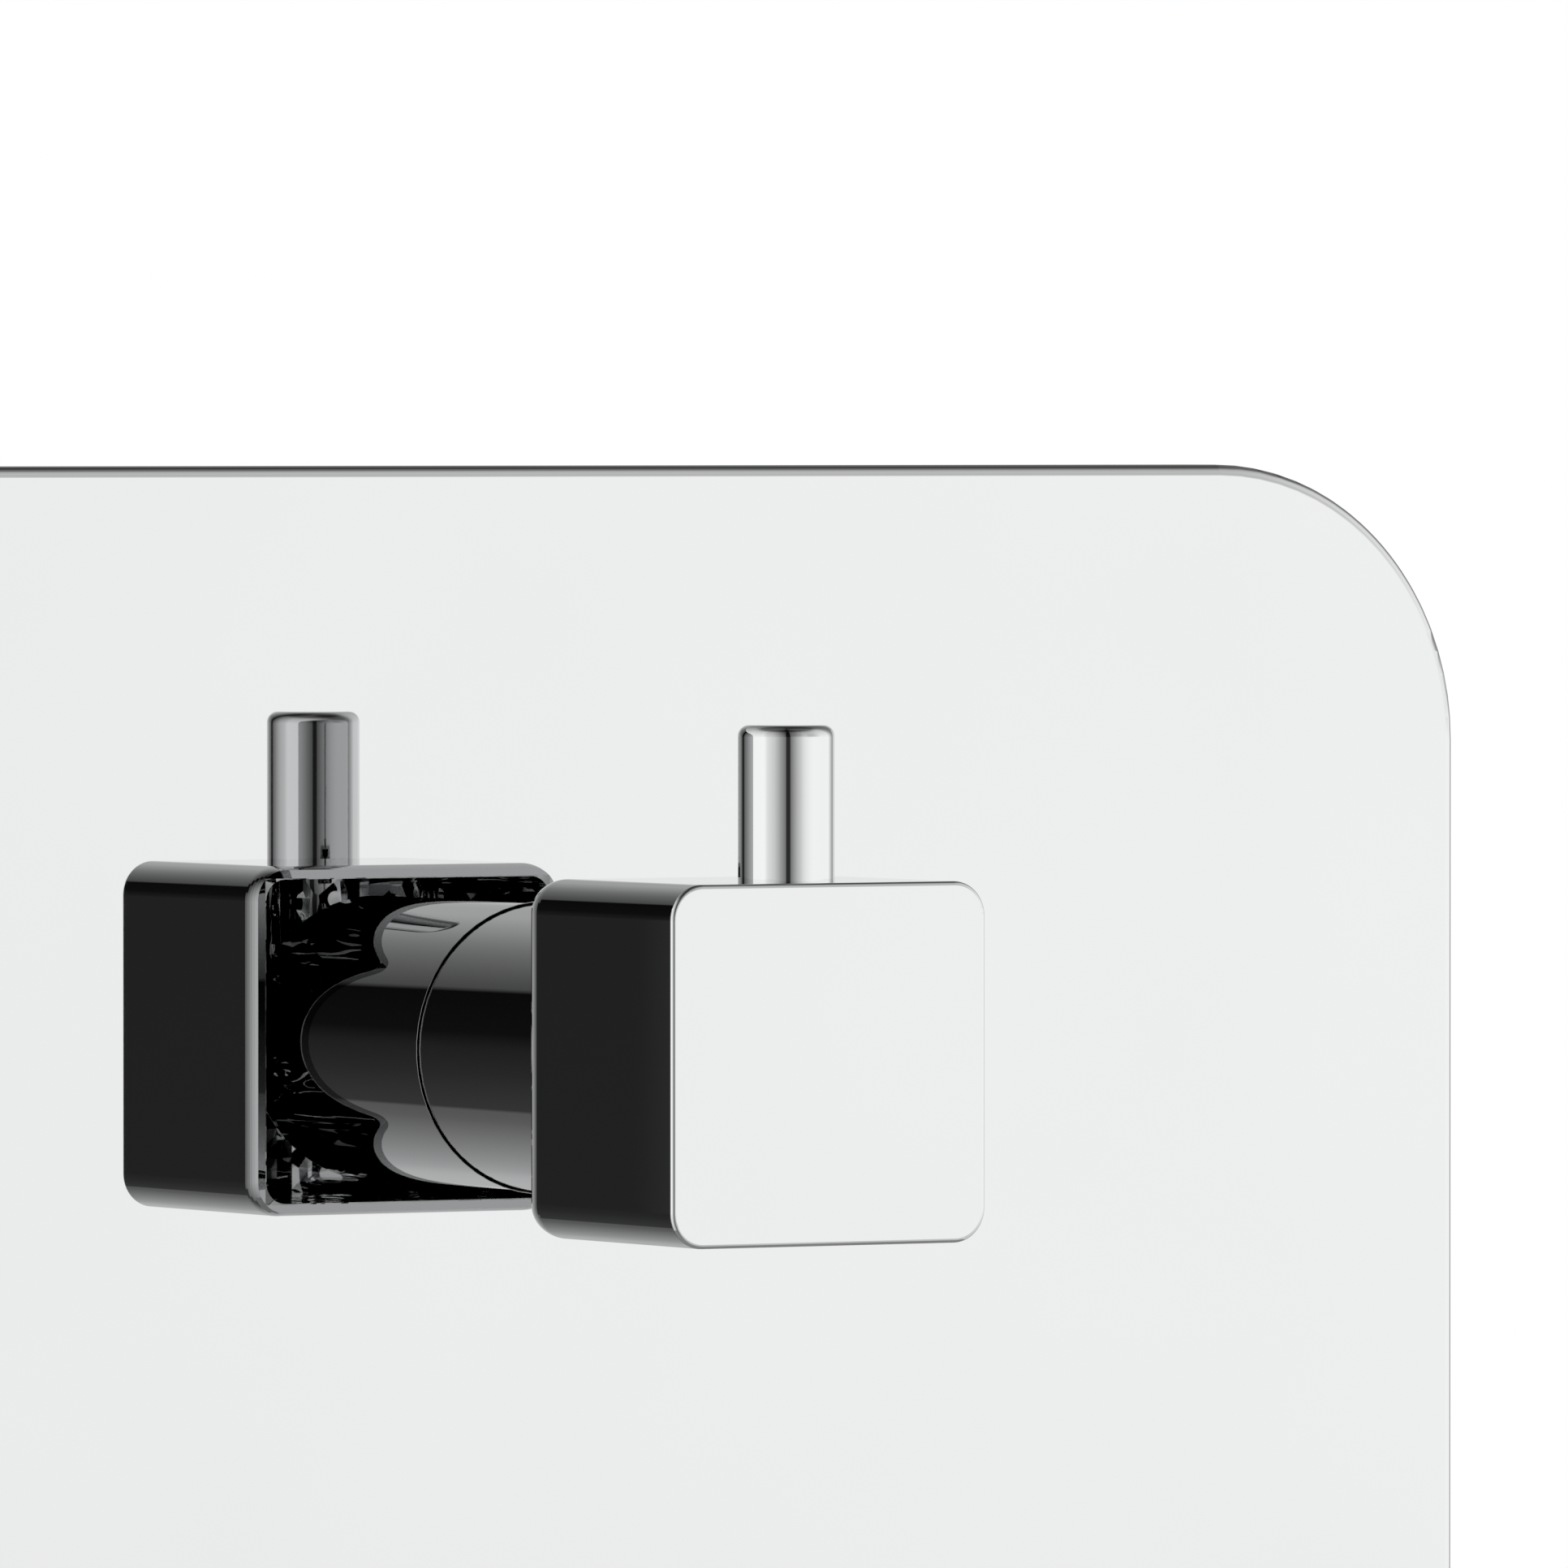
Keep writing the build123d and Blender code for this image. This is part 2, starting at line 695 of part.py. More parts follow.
# Extension spindle: a splined socket over the stem, a splined nose into the knob
spindle_back = nose_front + stem_front + loose_clearance
nose_spline_back = spindle_front - nose_spline_length
screw_seat = spline_front + spindle_floor
with BuildPart() as extension_spindle:
    with BuildSketch(wall.offset(spindle_back)):
        Circle(spindle_radius)
    extrude(amount=nose_spline_back - spindle_back)
    with BuildSketch(wall.offset(nose_spline_back)):
        spline_outline(nose_spline_radius)
    extrude(amount=nose_spline_length)
    with BuildSketch(wall.offset(spindle_back)):
        spline_outline(spline_radius, thread_clearance)
    extrude(amount=spline_front + loose_clearance - spindle_back, mode=Mode.SUBTRACT)
    with BuildSketch(wall.offset(spindle_back)):
        Circle(long_screw_radius + thread_clearance)
    extrude(amount=screw_seat - spindle_back, mode=Mode.SUBTRACT)
    with BuildSketch(wall.offset(screw_seat)):
        Circle(long_screw_head + thread_clearance)
    extrude(amount=spindle_front - screw_seat, mode=Mode.SUBTRACT)
save(extension_spindle.part, "extension_spindle")

# Cap screw that holds the extension on the stem
with BuildPart() as spindle_screw:
    with BuildSketch(wall.offset(screw_seat)):
        Circle(long_screw_head)
    extrude(amount=2 * long_screw_radius)
    with BuildSketch(wall.offset(screw_seat)):
        Circle(long_screw_radius)
    extrude(amount=spline_front - long_screw_grip + screw_end_room - screw_seat)
    with BuildSketch(wall.offset(screw_seat + 2 * long_screw_radius)):
        RegularPolygon(long_screw_radius * 0.75, 6, major_radius=False)
    extrude(amount=-long_screw_radius, mode=Mode.SUBTRACT)
save(spindle_screw.part, "spindle_screw")

# Splined insert pressed into the knob's boss
boss_bore = insert_radius + thread_clearance
boss_back = knob_front - boss_depth
insert_back = boss_back
insert_front = knob_floor - loose_clearance
with BuildPart() as spline_insert:
    with BuildSketch(wall.offset(insert_back)):
        Circle(insert_radius)
    extrude(amount=insert_front - insert_back)
    with BuildSketch(wall.offset(insert_back)):
        spline_outline(nose_spline_radius, thread_clearance)
    extrude(amount=insert_front - insert_floor - insert_back, mode=Mode.SUBTRACT)
save(spline_insert.part, "spline_insert")

# Knob: shelled cup with a central boss, four ribs, a post for the pin and a key hole below
with BuildPart() as knob_shell:
    with BuildSketch(wall.offset(knob_back + knob_lip_depth)):
        RectangleRounded(knob_width, knob_width, knob_corner)
    extrude(amount=knob_depth - knob_lip_depth)
    fillet(knob_shell.faces().sort_by(Axis.Y)[0].edges(), knob_front_edge)
    for step in range(knob_lip_steps):
        rear_outline = knob_shell.faces().sort_by(Axis.Y)[-1]
        turn = knob_lip_turn * (step + 0.5) / knob_lip_steps
        extrude(rear_outline, amount=knob_lip_depth / knob_lip_steps, taper=turn)
    with BuildSketch(wall.offset(knob_back)):
        RectangleRounded(2 * cavity_half, 2 * cavity_half, knob_corner - knob_wall)
    extrude(amount=knob_floor - knob_back, mode=Mode.SUBTRACT)
    floor_face = knob_shell.faces().filter_by(Axis.Y).sort_by(Axis.Y)[1]
    fillet(floor_face.edges(), knob_floor_round)
    with BuildSketch(wall.offset(knob_floor)):
        Circle(boss_radius)
    extrude(amount=boss_back - knob_floor)
    with BuildSketch(wall.offset(knob_floor)):
        Rectangle(2 * cavity_half, rib_thickness)
        Rectangle(rib_thickness, 2 * cavity_half)
    extrude(amount=-(rib_depth - knob_front_wall))
    with BuildSketch(Plane.XY.offset(cavity_half)):
        with Locations((0, -pin_height)):
            Circle(pin_radius)
    extrude(amount=-(cavity_half - boss_radius + post_root))
    with BuildSketch(wall.offset(boss_back)):
        Circle(boss_bore)
    extrude(amount=knob_floor - boss_back, mode=Mode.SUBTRACT)
    with BuildSketch(Plane.XY.offset(knob_half)):
        with Locations((0, -pin_height)):
            Circle(pin_thread_radius + thread_clearance)
    extrude(amount=-(pin_thread_length + stud_end_room), mode=Mode.SUBTRACT)
    with BuildSketch(Plane.XY.offset(-knob_half)):
        with Locations((0, -grub_height)):
            Circle(key_hole_radius)
    extrude(amount=knob_half - boss_radius, mode=Mode.SUBTRACT)
    with BuildSketch(Plane.XY.offset(-boss_radius)):
        with Locations((0, -grub_height)):
            Circle(grub_radius + thread_clearance)
    extrude(amount=boss_radius - insert_radius, mode=Mode.SUBTRACT)
save(knob_shell.part, "knob_shell")

# Grub screw in the boss, with its key socket facing the hole in the wall below
with BuildPart() as grub_screw:
    with BuildSketch(Plane.XY.offset(-insert_radius - thread_clearance)):
        with Locations((0, -grub_height)):
            Circle(grub_radius)
    extrude(amount=-grub_length)
    with BuildSketch(Plane.XY.offset(-insert_radius - thread_clearance - grub_length)):
        with Locations((0, -grub_height)):
            RegularPolygon(grub_key / 2, 6, major_radius=False)
    extrude(amount=grub_length / 2, mode=Mode.SUBTRACT)
save(grub_screw.part, "grub_screw")

# Lever pin, screwed on a stud so that it stands flat on the knob
with BuildPart() as lever_pin:
    with BuildSketch(Plane.XY.offset(knob_half)):
        with Locations((0, -pin_height)):
            Circle(pin_radius)
    extrude(amount=pin_length)
    fillet(lever_pin.faces().sort_by(Axis.Z)[-1].edges(), pin_edge)
    with BuildSketch(Plane.XY.offset(knob_half)):
        with Locations((0, -pin_height)):
            Circle(pin_thread_radius + thread_clearance)
    extrude(amount=pin_thread_length + stud_end_room, mode=Mode.SUBTRACT)
save(lever_pin.part, "lever_pin")

# Headless stud that joins the pin to the knob
with BuildPart() as pin_stud:
    with BuildSketch(Plane.XY.offset(knob_half - pin_thread_length)):
        with Locations((0, -pin_height)):
            Circle(pin_thread_radius)
    extrude(amount=2 * pin_thread_length)
save(pin_stud.part, "pin_stud")
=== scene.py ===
import json
from math import pi, radians, sin

import bpy
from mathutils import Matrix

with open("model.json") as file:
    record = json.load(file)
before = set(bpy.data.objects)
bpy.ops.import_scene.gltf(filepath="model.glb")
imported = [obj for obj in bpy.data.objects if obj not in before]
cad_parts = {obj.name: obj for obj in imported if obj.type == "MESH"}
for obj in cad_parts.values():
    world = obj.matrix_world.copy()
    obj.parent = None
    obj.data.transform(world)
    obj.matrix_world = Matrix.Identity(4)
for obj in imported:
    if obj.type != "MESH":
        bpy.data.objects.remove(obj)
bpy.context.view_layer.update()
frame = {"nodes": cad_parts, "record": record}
nodes = frame["nodes"]
scene = bpy.context.scene
scene.view_settings.view_transform = "Standard"

# Camera: a very long lens from the left, a little above the knob
VIEW_PLACE = (-0.9824, -1.7495, 0.068)
VIEW_TURN = 30.165
VIEW_TILT = -1.137
LENS_LENGTH = 427.5
FILM_WIDTH = 36.0
NEAREST_SEEN = 0.05
camera_data = bpy.data.cameras.new("camera")
camera_data.lens = LENS_LENGTH
camera_data.sensor_width = FILM_WIDTH
camera_data.clip_start = NEAREST_SEEN
camera = bpy.data.objects.new("camera", camera_data)
camera.location = VIEW_PLACE
camera.rotation_euler = (radians(90 + VIEW_TILT), 0, radians(-VIEW_TURN))
scene.collection.objects.link(camera)
scene.camera = camera


# Small helpers for shader nodes
def add(tree, kind, **settings):
    """A shader node with its properties and its unlinked input values, as in_NAME or in_NUMBER."""
    node = tree.nodes.new(kind)
    for name, value in settings.items():
        if name.startswith("in_"):
            key = name[3:]
            node.inputs[int(key) if key.isdigit() else key.replace("_", " ")].default_value = value
        else:
            setattr(node, name, value)
    return node


def ramp(tree, source, stops):
    """A colour ramp of greys or colours over a factor."""
    node = tree.nodes.new("ShaderNodeValToRGB")
    while len(node.color_ramp.elements) < len(stops):
        node.color_ramp.elements.new(0.5)
    for element, (place, level) in zip(node.color_ramp.elements, stops):
        element.position = place
        element.color = (level, level, level, 1) if isinstance(level, float) else (*level, 1)
    tree.links.new(source, node.inputs[0])
    return node.outputs[0]


def calc(tree, operation, a, b=0.0):
    """A maths node whose two inputs are sockets or plain numbers."""
    node = tree.nodes.new("ShaderNodeMath")
    node.operation = operation
    for slot, value in enumerate((a, b)):
        if isinstance(value, (int, float)):
            node.inputs[slot].default_value = value
        else:
            tree.links.new(value, node.inputs[slot])
    return node.outputs[0]


# Studio: bright walls left and right, with a narrow dark gap between them where the camera stands.
# Each pair is a bearing and a level. Bearings are in degrees, 0 straight out of the wall and
# growing towards the plate's right edge.
STUDIO_ROUND = [
    (-180, 0.6),
    (-150, 1.1),
    (-125, 1.45),
    (-84, 1.49),
    (-75, 1.18),
    (-67, 1.06),
    (-59, 0.94),
    (-51, 0.74),
    (-43, 0.52),
    (-35, 0.34),
    (-31, 0.26),
    (-26, 0.2),
    (-20, 0.25),
    (-12, 0.47),
    (-4, 0.7),
    (4, 0.91),
    (13, 1.18),
    (21, 1.31),
    (30, 1.41),
    (39, 1.45),
    (90, 1.42),
    (98, 1.0),
    (112, 0.45),
    (128, 0.3),
    (160, 0.3),
    (180, 0.6),
]
# The share of that level that is left at each height above or below the horizon, in degrees
STUDIO_UP = [
    (-90, 0.55),
    (-45, 0.6),
    (-29, 0.68),
    (-22, 0.74),
    (-14, 0.81),
    (-6, 0.95),
    (-3, 1.0),
    (0, 1.0),
    (8, 0.92),
    (16, 0.85),
    (28, 0.76),
    (41, 0.62),
    (48, 0.5),
    (53, 0.31),
    (57, 0.17),
    (65, 0.12),
    (90, 0.1),
]
# What shuts out the light in the dark gap, and the level that each height still has there
GAP_ROUND = [(-180, 1.0), (-30.7, 1.0), (-30.2, 0.0), (-21.1, 0.0), (-20.7, 1.0), (180, 1.0)]
GAP_UP = [
    (-90, 0.2),
    (-35, 0.12),
    (-22, 0.09),
    (-10, 0.055),
    (0, 0.036),
    (6, 0.012),
    (25, 0.007),
    (90, 0.007),
]
# Degrees that the gap and the walls beside it lean to the left for each unit of height
GAP_LEAN = 1.0
WALL_LEAN = 10.0
# Three local changes: how strongly each bearing takes part, and what each height keeps of its level
DIM_ROUND = [
    (-180, 0.0),
    (-45, 0.0),
    (-25, 1.0),
    (-8, 1.0),
    (8, 0.8),
    (20, 0.6),
    (40, 0.3),
    (60, 0.0),
    (180, 0.0),
]
DIM_UP = [(-90, 1.0), (0, 1.0), (8, 0.8), (17, 0.55), (30, 0.58), (45, 0.5), (90, 0.5)]
LIFT_ROUND = [(-180, 0.0), (-45, 0.0), (-25, 1.0), (-14, 1.0), (0, 0.4), (14, 0.0), (180, 0.0)]
LIFT_UP = [(-90, 1.4), (-30, 1.4), (-25, 1.45), (0, 1.0), (90, 1.0)]
EDGE_ROUND = [(-180, 0.0), (19, 0.0), (27, 1.0), (40, 1.0), (60, 0.0), (180, 0.0)]
EDGE_UP = [
    (-90, 0.9),
    (-30, 0.85),
    (-20, 0.8),
    (-12, 0.72),
    (-7, 0.85),
    (-4, 1.0),
    (4, 1.0),
    (7, 0.85),
    (12, 0.72),
    (22, 0.8),
    (30, 0.9),
    (90, 1.0),
]


def by_height(tree, height, stops):
    """A ramp over the height of a direction, with its stops in degrees above the horizon."""
    place = calc(tree, "MULTIPLY", calc(tree, "ADD", height, 1.0), 0.5)
    return ramp(tree, place, [((sin(radians(up)) + 1) / 2, level) for up, level in stops])


def by_bearing(tree, bearing, height, lean, stops):
    """A ramp over the bearing of a direction, with its stops in degrees at the horizon."""
    leaned = calc(tree, "ADD", bearing, calc(tree, "MULTIPLY", height, radians(lean)))
    place = calc(tree, "ADD", calc(tree, "DIVIDE", leaned, 2 * pi), 0.5)
    return ramp(tree, place, [((degrees + 180) / 360, level) for degrees, level in stops])


def changed_near(tree, level, near, change):
    """The level after a change that works only where the bearing is near."""
    share = calc(tree, "MULTIPLY", near, calc(tree, "SUBTRACT", change, 1.0))
    return calc(tree, "MULTIPLY", level, calc(tree, "ADD", share, 1.0))


world = bpy.data.worlds.new("studio")
world.use_nodes = True
scene.world = world
tree = world.node_tree
tree.nodes.clear()
direction = add(tree, "ShaderNodeTexCoord").outputs["Generated"]
split = add(tree, "ShaderNodeSeparateXYZ")
tree.links.new(direction, split.inputs[0])
toward = calc(tree, "MULTIPLY", split.outputs[1], -1.0)
bearing = calc(tree, "ARCTAN2", split.outputs[0], toward)
up = split.outputs[2]
level = by_bearing(tree, bearing, up, WALL_LEAN, STUDIO_ROUND)
level = calc(tree, "MULTIPLY", level, by_bearing(tree, bearing, up, GAP_LEAN, GAP_ROUND))
level = calc(tree, "MULTIPLY", level, by_height(tree, up, STUDIO_UP))
for around, heights in ((DIM_ROUND, DIM_UP), (LIFT_ROUND, LIFT_UP), (EDGE_ROUND, EDGE_UP)):
    near = by_bearing(tree, bearing, up, 0.0, around)
    level = changed_near(tree, level, near, by_height(tree, up, heights))
level = calc(tree, "MAXIMUM", level, by_height(tree, up, GAP_UP))
glow = add(tree, "ShaderNodeBackground", in_Strength=1.0)
tree.links.new(level, glow.inputs["Color"])
white = add(tree, "ShaderNodeBackground", in_Color=(1, 1, 1, 1), in_Strength=1.0)
rays = add(tree, "ShaderNodeLightPath")
choose = add(tree, "ShaderNodeMixShader")
tree.links.new(rays.outputs["Is Camera Ray"], choose.inputs[0])
tree.links.new(glow.outputs[0], choose.inputs[1])
tree.links.new(white.outputs[0], choose.inputs[2])
tree.links.new(choose.outputs[0], add(tree, "ShaderNodeOutputWorld").inputs[0])


# Shared effects, each a node group
def effect(name, inputs, outputs):
    """An empty node group with named number inputs and outputs."""
    group = bpy.data.node_groups.new(name, "ShaderNodeTree")
    for title, value in inputs.items():
        socket = group.interface.new_socket(title, in_out="INPUT", socket_type="NodeSocketFloat")
        socket.default_value = value
    for title in outputs:
        group.interface.new_socket(title, in_out="OUTPUT", socket_type="NodeSocketFloat")
    return group, add(group, "NodeGroupInput"), add(group, "NodeGroupOutput")


def build_polish_haze():
    """Faint cloudy haze and hairlines left by the polishing wheel or by drawing the sheet."""
    cloud_share = 0.7
    hair_stretch = (60.0, 60.0, 2400.0)
    inputs = {"Cloud Size": 30.0, "Hairlines": 0.3}
    group, given, out = effect("polish_haze", inputs, ["Haze", "Relief"])
    place = add(group, "ShaderNodeTexCoord").outputs["Object"]
    cloud = add(group, "ShaderNodeTexNoise", in_Detail=3.0)
    group.links.new(place, cloud.inputs["Vector"])
    group.links.new(given.outputs["Cloud Size"], cloud.inputs["Scale"])
    stretch = add(group, "ShaderNodeMapping")
    stretch.inputs["Scale"].default_value = hair_stretch
    group.links.new(place, stretch.inputs["Vector"])
    hair = add(group, "ShaderNodeTexNoise", in_Scale=1.0, in_Detail=4.0)
    group.links.new(stretch.outputs[0], hair.inputs["Vector"])
    lines = calc(group, "MULTIPLY", hair.outputs[0], given.outputs["Hairlines"])
    clouds = calc(group, "MULTIPLY", cloud.outputs[0], cloud_share)
    group.links.new(calc(group, "ADD", clouds, lines), out.inputs["Haze"])
    group.links.new(cloud.outputs[0], out.inputs["Relief"])
    return group


def build_sand_grain():
    """Grainy, finely pitted skin of a sand casting, of foam or of a moulding."""
    pit_spacing = 0.6
    inputs = {"Grain Size": 900.0, "Pits": 0.5, "Blotch Size": 70.0}
    group, given, out = effect("sand_grain", inputs, ["Grain", "Blotch"])
    place = add(group, "ShaderNodeTexCoord").outputs["Object"]
    fine = add(group, "ShaderNodeTexNoise", in_Detail=6.0, in_Roughness=0.65)
    group.links.new(place, fine.inputs["Vector"])
    group.links.new(given.outputs["Grain Size"], fine.inputs["Scale"])
    cells = add(group, "ShaderNodeTexVoronoi")
    group.links.new(place, cells.inputs["Vector"])
    spacing = calc(group, "MULTIPLY", given.outputs["Grain Size"], pit_spacing)
    group.links.new(spacing, cells.inputs["Scale"])
    pits = calc(group, "MULTIPLY", cells.outputs["Distance"], given.outputs["Pits"])
    group.links.new(calc(group, "ADD", fine.outputs[0], pits), out.inputs["Grain"])
    blotch = add(group, "ShaderNodeTexNoise", in_Detail=6.0, in_Roughness=0.7)
    group.links.new(place, blotch.inputs["Vector"])
    group.links.new(given.outputs["Blotch Size"], blotch.inputs["Scale"])
    group.links.new(blotch.outputs[0], out.inputs["Blotch"])
    return group


def build_turning_rings():
    """Fine rings that a lathe leaves round the knob's axis."""
    streak_pace = 0.05
    group, given, out = effect("turning_rings", {"Rings": 5200.0}, ["Ring", "Streak"])
    place = add(group, "ShaderNodeTexCoord").outputs["Object"]
    apart = add(group, "ShaderNodeSeparateXYZ")
    group.links.new(place, apart.inputs[0])
    across, deep, high = apart.outputs
    squares = [calc(group, "POWER", side, 2.0) for side in (across, high)]
    radius = calc(group, "SQRT", calc(group, "ADD", *squares))
    phase = calc(group, "MULTIPLY", calc(group, "ADD", radius, deep), given.outputs["Rings"])
    group.links.new(calc(group, "SINE", phase), out.inputs["Ring"])
    streak = add(group, "ShaderNodeTexNoise", in_Scale=1.0, in_Detail=2.0)
    along = add(group, "ShaderNodeCombineXYZ")
    group.links.new(calc(group, "MULTIPLY", phase, streak_pace), along.inputs[0])
    group.links.new(along.outputs[0], streak.inputs["Vector"])
    group.links.new(streak.outputs[0], out.inputs["Streak"])
    return group


def build_edge_wear():
    """A patchy mask of the edges, where handling has rubbed the surface."""
    edge_gain = 5.0
    patch_size = 350.0
    patch_gain = 1.6
    group, given, out = effect("edge_wear", {"Width": 0.0006}, ["Wear"])
    rounded = add(group, "ShaderNodeBevel", samples=6)
    group.links.new(given.outputs["Width"], rounded.inputs["Radius"])
    facing = add(group, "ShaderNodeVectorMath", operation="DOT_PRODUCT")
    group.links.new(rounded.outputs[0], facing.inputs[0])
    group.links.new(add(group, "ShaderNodeNewGeometry").outputs["Normal"], facing.inputs[1])
    turned = calc(group, "SUBTRACT", 1.0, facing.outputs["Value"])
    turned = calc(group, "MULTIPLY", turned, edge_gain)
    patchy = add(group, "ShaderNodeTexNoise", in_Scale=patch_size, in_Detail=4.0)
    group.links.new(add(group, "ShaderNodeTexCoord").outputs["Object"], patchy.inputs["Vector"])
    worn = add(group, "ShaderNodeMath", operation="MULTIPLY", use_clamp=True)
    group.links.new(turned, worn.inputs[0])
    group.links.new(calc(group, "MULTIPLY", patchy.outputs[0], patch_gain), worn.inputs[1])
    group.links.new(worn.outputs[0], out.inputs["Wear"])
    return group


def build_cast_waves():
    """Uneven skin of the casting inside the knob's walls, where no wheel reaches."""
    walls_from_axis = 0.0177
    face_back = -0.068
    drawn_out = (1.0, 0.35, 1.0)
    group, given, out = effect("cast_waves", {"Wave Size": 320.0}, ["Waves"])
    place = add(group, "ShaderNodeTexCoord").outputs["Object"]
    apart = add(group, "ShaderNodeSeparateXYZ")
    group.links.new(place, apart.inputs[0])
    across, deep, high = apart.outputs
    sides = [calc(group, "ABSOLUTE", side) for side in (across, high)]
    inside = calc(group, "LESS_THAN", calc(group, "MAXIMUM", *sides), walls_from_axis)
    inside = calc(group, "MULTIPLY", inside, calc(group, "GREATER_THAN", deep, face_back))
    drawn = add(group, "ShaderNodeMapping")
    drawn.inputs["Scale"].default_value = drawn_out
    group.links.new(place, drawn.inputs["Vector"])
    waves = add(group, "ShaderNodeTexVoronoi")
    group.links.new(drawn.outputs[0], waves.inputs["Vector"])
    group.links.new(given.outputs["Wave Size"], waves.inputs["Scale"])
    group.links.new(calc(group, "MULTIPLY", waves.outputs["Distance"], inside), out.inputs["Waves"])
    return group


polish_haze = build_polish_haze()
sand_grain = build_sand_grain()
turning_rings = build_turning_rings()
edge_wear = build_edge_wear()
cast_waves = build_cast_waves()


def new_material(name):
    """An empty node material."""
    material = bpy.data.materials.new(name)
    material.use_nodes = True
    material.node_tree.nodes.clear()
    return material, material.node_tree


def finish(
    name, group, tones, roughness, relief, metallic=0.0, rough_by=1, tone_by=1, worn=None, **values
):
    """A material whose colour, roughness and relief come from one shared effect.

    relief is the strength and the depth of the bump in metres, and worn the colour of rubbed edges.
    """
    material, tree = new_material(name)
    skin = add(tree, "ShaderNodeGroup", node_tree=group)
    for title, value in values.items():
        skin.inputs[title.replace("_", " ")].default_value = value
    shader = add(tree, "ShaderNodeBsdfPrincipled", in_Metallic=metallic)
    colour = ramp(tree, skin.outputs[tone_by], tones)
    if worn:
        edges = add(tree, "ShaderNodeGroup", node_tree=edge_wear)
        blend = add(tree, "ShaderNodeMixRGB", in_2=(*worn, 1))
        tree.links.new(edges.outputs[0], blend.inputs[0])
        tree.links.new(colour, blend.inputs[1])
        colour = blend.outputs[0]
    tree.links.new(colour, shader.inputs["Base Color"])
    tree.links.new(ramp(tree, skin.outputs[rough_by], roughness), shader.inputs["Roughness"])
    strength, depth = relief
    bump = add(tree, "ShaderNodeBump", in_Strength=strength, in_Distance=depth)
    tree.links.new(skin.outputs[0], bump.inputs["Height"])
    tree.links.new(bump.outputs[0], shader.inputs["Normal"])
    tree.links.new(shader.outputs[0], add(tree, "ShaderNodeOutputMaterial").inputs[0])
    return material


def pale_in_view(material, share):
    """Mixes a share of plain white into what the camera sees of a material."""
    tree = material.node_tree
    output = tree.nodes["Material Output"].inputs[0]
    lit = output.links[0].from_socket
    white = add(tree, "ShaderNodeEmission", in_Color=(1, 1, 1, 1), in_Strength=1.0)
    seen = calc(tree, "MULTIPLY", add(tree, "ShaderNodeLightPath").outputs["Is Camera Ray"], share)
    blend = add(tree, "ShaderNodeMixShader")
    tree.links.new(seen, blend.inputs[0])
    tree.links.new(lit, blend.inputs[1])
    tree.links.new(white.outputs[0], blend.inputs[2])
    tree.links.new(blend.outputs[0], output)


def polished(name, light, dark, cast_inside=False):
    """Mirror chrome: only a trace of haze in its roughness, and relief only inside a casting."""
    material, tree = new_material(name)
    haze = add(tree, "ShaderNodeGroup", node_tree=polish_haze)
    shader = add(tree, "ShaderNodeBsdfPrincipled", in_Metallic=1.0)
    tones = ramp(tree, haze.outputs["Relief"], [(0.2, dark), (0.8, light)])
    tree.links.new(tones, shader.inputs["Base Color"])
    gloss = ramp(tree, haze.outputs["Haze"], [(0.3, 0.004), (0.9, 0.03)])
    tree.links.new(gloss, shader.inputs["Roughness"])
    if cast_inside:
        uneven = add(tree, "ShaderNodeGroup", node_tree=cast_waves)
        bump = add(tree, "ShaderNodeBump", in_Strength=1.0, in_Distance=CAST_DEPTH)
        tree.links.new(uneven.outputs[0], bump.inputs["Height"])
        tree.links.new(bump.outputs[0], shader.inputs["Normal"])
    tree.links.new(shader.outputs[0], add(tree, "ShaderNodeOutputMaterial").inputs[0])
    return material


CAST_DEPTH = 0.0003
CHROME_LIGHT = (0.605, 0.608, 0.612)
CHROME_DARK = (0.592, 0.597, 0.598)
chrome = polished("mirror_chrome", CHROME_LIGHT, CHROME_DARK)
knob_chrome = polished("knob_chrome", CHROME_LIGHT, CHROME_DARK, cast_inside=True)
cast_brass = finish(
    "cast_brass",
    sand_grain,
    [(0.4, (0.38, 0.27, 0.11)), (0.62, (0.54, 0.39, 0.18)), (0.85, (0.67, 0.51, 0.26))],
    [(0.3, 0.58), (0.7, 0.42)],
    relief=(1.0, 0.0008),
    metallic=1.0,
    tone_by=0,
    worn=(0.8, 0.63, 0.34),
    Grain_Size=900.0,
    Pits=0.6,
    Blotch_Size=200.0,
)
turned_brass = finish(
    "turned_brass",
    turning_rings,
    [(0.3, (0.66, 0.49, 0.22)), (0.7, (0.78, 0.62, 0.33))],
    [(0.2, 0.2), (0.8, 0.34)],
    relief=(0.08, 0.0001),
    metallic=1.0,
    worn=(0.88, 0.73, 0.42),
)
zinc_steel = finish(
    "zinc_steel",
    polish_haze,
    [(0.3, (0.53, 0.55, 0.57)), (0.7, (0.66, 0.66, 0.61))],
    [(0.35, 0.26), (0.8, 0.46)],
    relief=(0.12, 0.0002),
    metallic=1.0,
    rough_by=0,
    worn=(0.78, 0.79, 0.8),
    Cloud_Size=120.0,
    Hairlines=0.6,
)
screw_steel = finish(
    "screw_steel",
    turning_rings,
    [(0.3, (0.5, 0.5, 0.51)), (0.7, (0.62, 0.62, 0.62))],
    [(0.2, 0.22), (0.8, 0.4)],
    relief=(0.08, 0.0001),
    metallic=1.0,
    worn=(0.75, 0.75, 0.76),
    Rings=9000.0,
)
black_rubber = finish(
    "black_rubber",
    sand_grain,
    [(0.3, (0.012, 0.012, 0.013)), (0.8, (0.03, 0.03, 0.031))],
    [(0.3, 0.55), (0.8, 0.72)],
    relief=(0.12, 0.0001),
    Grain_Size=2200.0,
)
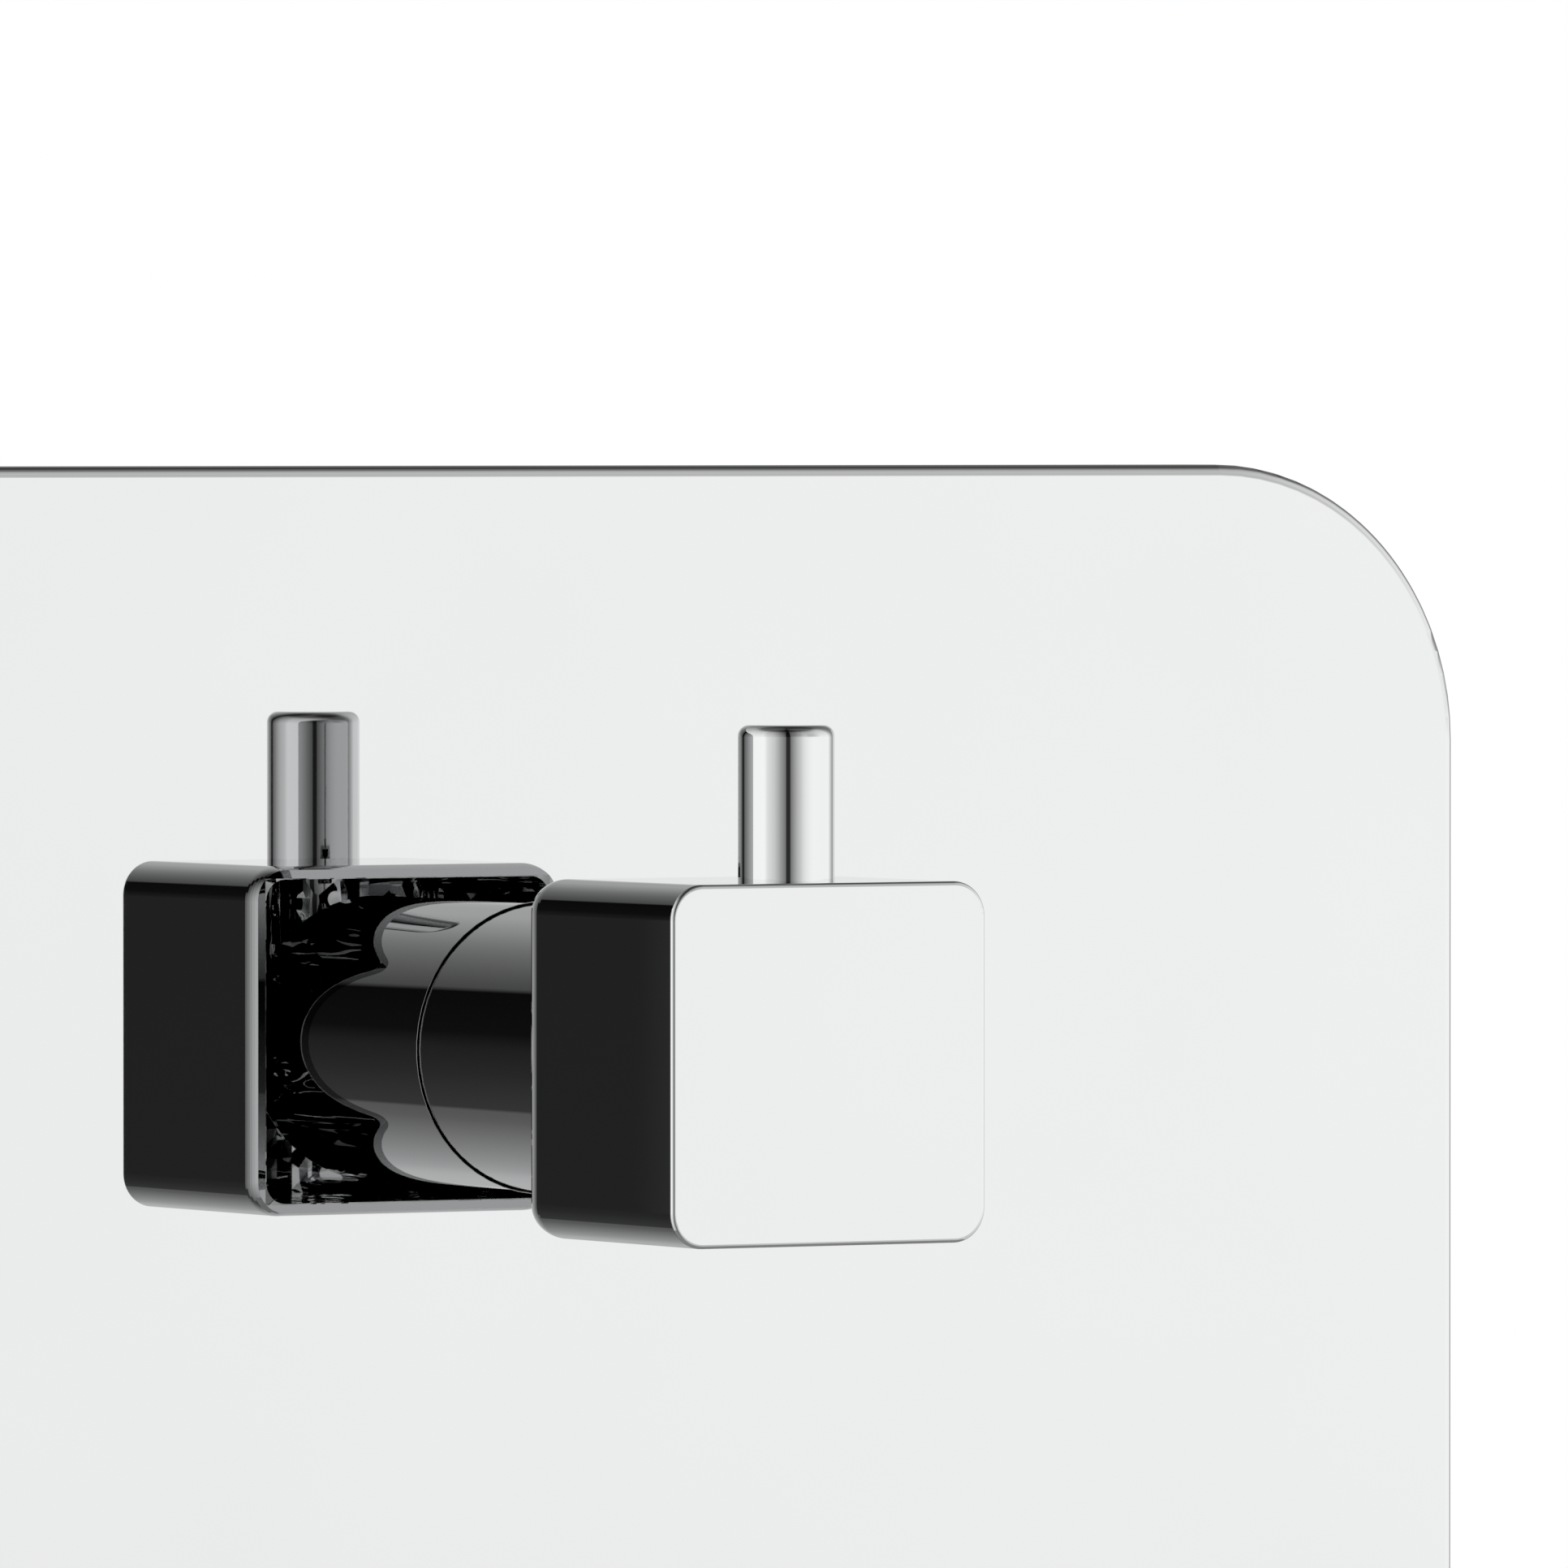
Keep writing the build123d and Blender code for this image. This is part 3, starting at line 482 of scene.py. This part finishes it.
grey_foam = finish(
    "grey_foam",
    sand_grain,
    [(0.4, (0.05, 0.05, 0.053)), (1.0, (0.17, 0.17, 0.175))],
    [(0.3, 0.9), (0.8, 0.97)],
    relief=(0.6, 0.0006),
    rough_by=0,
    tone_by=0,
    Grain_Size=700.0,
    Pits=0.9,
)
black_plastic = finish(
    "black_plastic",
    sand_grain,
    [(0.3, (0.025, 0.025, 0.027)), (0.8, (0.05, 0.05, 0.052))],
    [(0.3, 0.4), (0.8, 0.5)],
    relief=(0.08, 0.0001),
    Grain_Size=2600.0,
)
white_plastic = finish(
    "white_plastic",
    sand_grain,
    [(0.3, (0.76, 0.75, 0.7)), (0.8, (0.84, 0.83, 0.79))],
    [(0.3, 0.34), (0.8, 0.46)],
    relief=(0.06, 0.0001),
    Grain_Size=2600.0,
)
ceramic = finish(
    "lapped_ceramic",
    sand_grain,
    [(0.3, (0.84, 0.81, 0.74)), (0.8, (0.9, 0.88, 0.82))],
    [(0.3, 0.14), (0.8, 0.24)],
    relief=(0.03, 0.0001),
    Grain_Size=3200.0,
)
WHITE_SHARE = 0.6
pale_floor = finish(
    "pale_floor",
    sand_grain,
    [(0.3, (0.78, 0.78, 0.78)), (0.8, (0.82, 0.82, 0.82))],
    [(0.3, 0.8), (0.8, 0.9)],
    relief=(0.02, 0.001),
    Grain_Size=60.0,
)
pale_in_view(pale_floor, WHITE_SHARE)
by_slot = {
    "polished_plate": chrome,
    "polished_chrome": chrome,
    "cast_brass": cast_brass,
    "turned_brass": turned_brass,
    "zinc_steel": zinc_steel,
    "screw_steel": screw_steel,
    "black_rubber": black_rubber,
    "grey_foam": grey_foam,
    "black_plastic": black_plastic,
    "white_plastic": white_plastic,
    "ceramic": ceramic,
}
by_node = {"knob_shell": knob_chrome}
for piece in frame["record"]["subparts"]:
    mesh = nodes[piece["node"]].data
    mesh.materials.clear()
    mesh.materials.append(by_node.get(piece["node"], by_slot[piece["material_slot"]]))

# Floor well below the plate
FLOOR_REACH = 1.2
FLOOR_HEIGHT = -1.15
corners = [
    (-FLOOR_REACH, -FLOOR_REACH, FLOOR_HEIGHT),
    (FLOOR_REACH, -FLOOR_REACH, FLOOR_HEIGHT),
    (FLOOR_REACH, FLOOR_REACH, FLOOR_HEIGHT),
    (-FLOOR_REACH, FLOOR_REACH, FLOOR_HEIGHT),
]
floor_mesh = bpy.data.meshes.new("floor")
floor_mesh.from_pydata(corners, [], [(0, 1, 2, 3)])
floor_mesh.materials.append(pale_floor)
floor = bpy.data.objects.new("floor", floor_mesh)
scene.collection.objects.link(floor)
